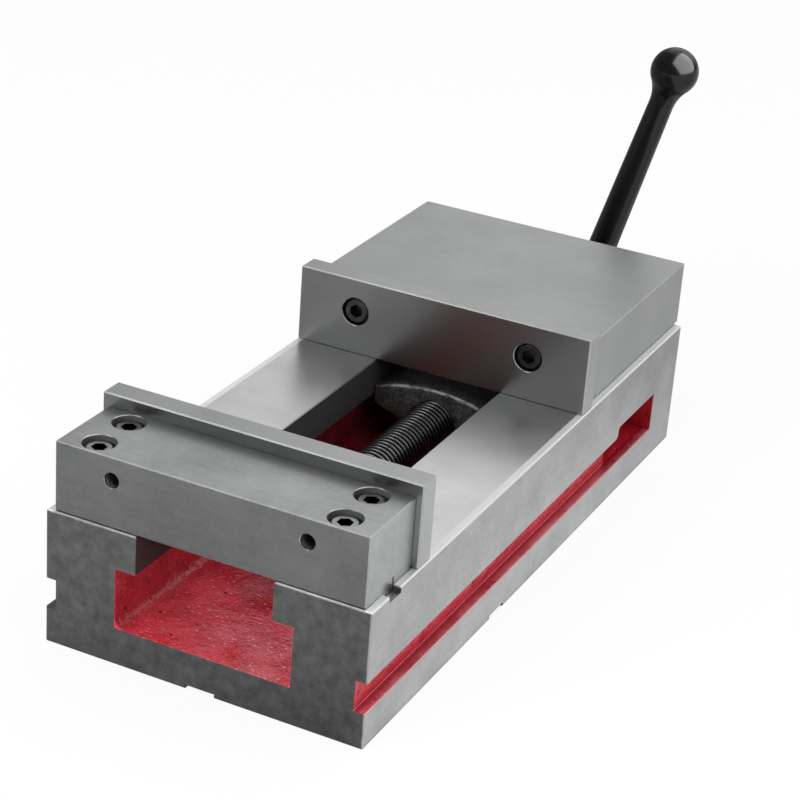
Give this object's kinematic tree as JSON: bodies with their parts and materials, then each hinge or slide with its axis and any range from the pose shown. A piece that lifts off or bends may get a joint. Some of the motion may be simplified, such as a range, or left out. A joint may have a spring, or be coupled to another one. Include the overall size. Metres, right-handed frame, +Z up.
{
  "type": "precision machine vise",
  "caption": "Precision machine vise: ground bed with T-channel, bolted fixed jaw, screw-driven sliding jaw with pull-down nut, and a ball-ended crank lever.",
  "frame": {"origin": "centre of the bed's underside, the face that stands on the machine table", "axes": "+X across the jaws, +Y along the bed from the fixed jaw towards the handle, +Z up"},
  "size_m": [0.151, 0.4178, 0.1879],
  "materials": {
    "ground_cast_iron": "ground on the outside, red enamel in the channel",
    "ground_steel_block": "fine ground",
    "key_steel": "fine ground",
    "plain_bolt_steel": "turned",
    "hardened_plate_steel": "fine ground",
    "black_oxide_steel": "black oxide",
    "rough_cast_nut": "rough as cast",
    "bearing_steel": "ground and polished",
    "oiled_screw_steel": "dark oiled thread, bright crests",
    "cage_brass": "stamped",
    "bush_bronze": "turned bronze",
    "cap_steel": "fine ground",
    "collar_steel": "turned",
    "black_enamel_casting": "gloss black",
    "gloss_black_lever": "high gloss black"
  },
  "bodies": {
    "base": {"bed": "ground_cast_iron", "fixed_jaw": "ground_steel_block", "jaw_key": "key_steel", "fixed_jaw_bolts": "plain_bolt_steel", "fixed_jaw_plate": "hardened_plate_steel", "fixed_plate_screws": "black_oxide_steel", "bearing_bush": "bush_bronze", "rear_cap": "cap_steel", "rear_cap_screws": "black_oxide_steel", "thrust_washer_rear": "bearing_steel"},
    "carriage": {"movable_jaw": "ground_steel_block", "movable_jaw_plate": "hardened_plate_steel", "movable_plate_screws": "black_oxide_steel", "nut": "rough_cast_nut", "half_ball": "bearing_steel", "jaw_set_screw": "black_oxide_steel"},
    "spindle": {"lead_screw": "oiled_screw_steel", "thrust_washer_front": "bearing_steel", "thrust_cage": "cage_brass", "thrust_balls": "bearing_steel", "lock_collar": "collar_steel", "collar_set_screw": "black_oxide_steel", "handle_hub": "black_enamel_casting", "handle_lever": "gloss_black_lever", "handle_washer": "bearing_steel", "handle_screw": "black_oxide_steel"}
  },
  "joints": [
    {"name": "screw_spin", "type": "hinge", "parent": "base", "child": "spindle", "pos_m": [0, 0, 0.0385], "axis": [0, 1, 0], "range_deg": [-19020, 720]},
    {"name": "jaw_slide", "type": "slide", "parent": "base", "child": "carriage", "axis": [0, 1, 0], "range_m": [-0.1586, 0.0061]}
  ],
  "couplings": [
    {"joint": "jaw_slide", "follows": "screw_spin", "m_per_rad": 0.00047746}
  ]
}
